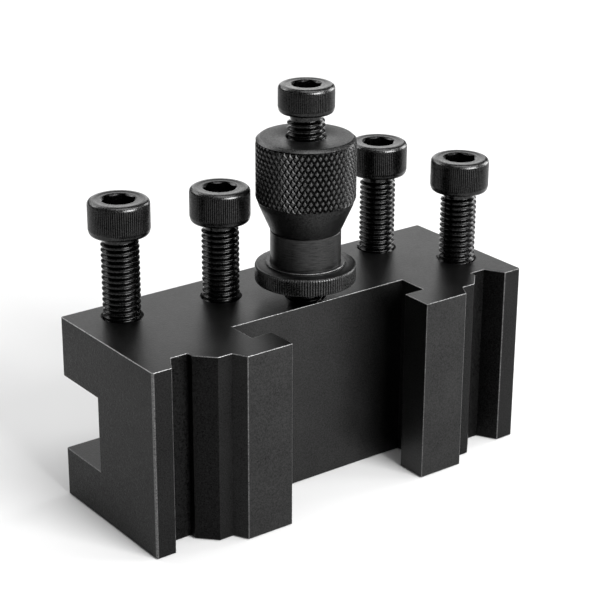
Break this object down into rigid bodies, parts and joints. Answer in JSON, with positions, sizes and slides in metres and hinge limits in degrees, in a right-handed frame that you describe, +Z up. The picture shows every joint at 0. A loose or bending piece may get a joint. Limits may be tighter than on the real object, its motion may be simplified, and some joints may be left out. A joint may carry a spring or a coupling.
{
  "type": "quick change tool holder",
  "caption": "Black steel lathe tool holder with a T-slot and V-grooves at the front, an open tool slot with clamp screws at the back, and a knurled height adjuster on top.",
  "frame": {"origin": "under the middle of the block, on the surface that it stands on, half way along its length and its depth", "axes": "+X along the block's length, to the right seen from the T-slot side; +Y from the T-slot to the tool slot; +Z up, out of the screw heads"},
  "size_m": [0.12, 0.0499, 0.1088],
  "materials": {
    "block_steel": "black oxide, satin ground",
    "screw_steel": "black oxide, semi-gloss",
    "nut_steel": "black oxide, turned and knurled"
  },
  "bodies": {
    "block": {"holder_body": "block_steel"},
    "clamp_1": {"clamp_screw_1": "screw_steel"},
    "clamp_2": {"clamp_screw_2": "screw_steel"},
    "clamp_3": {"clamp_screw_3": "screw_steel"},
    "clamp_4": {"clamp_screw_4": "screw_steel"},
    "stud": {"height_screw": "screw_steel"},
    "height_nut": {"flange_nut": "nut_steel"},
    "locking_nut": {"lock_nut": "nut_steel"}
  },
  "joints": [
    {"name": "clamp_1_screw", "type": "slide", "parent": "block", "child": "clamp_1", "axis": [0, 0, 1], "range_m": [-0.0224, 0.0075]},
    {"name": "clamp_2_screw", "type": "slide", "parent": "block", "child": "clamp_2", "axis": [0, 0, 1], "range_m": [-0.0211, 0.0075]},
    {"name": "clamp_3_screw", "type": "slide", "parent": "block", "child": "clamp_3", "axis": [0, 0, 1], "range_m": [-0.022, 0.0075]},
    {"name": "clamp_4_screw", "type": "slide", "parent": "block", "child": "clamp_4", "axis": [0, 0, 1], "range_m": [-0.02, 0.0075]},
    {"name": "stud_screw", "type": "slide", "parent": "block", "child": "stud", "axis": [0, 0, 1], "range_m": [0, 0.012]},
    {"name": "height_nut_screw", "type": "slide", "parent": "stud", "child": "height_nut", "axis": [0, 0, 1], "range_m": [-0.0043, 0.0035]},
    {"name": "locking_nut_screw", "type": "slide", "parent": "height_nut", "child": "locking_nut", "axis": [0, 0, 1], "range_m": [0, 0.0028]}
  ]
}
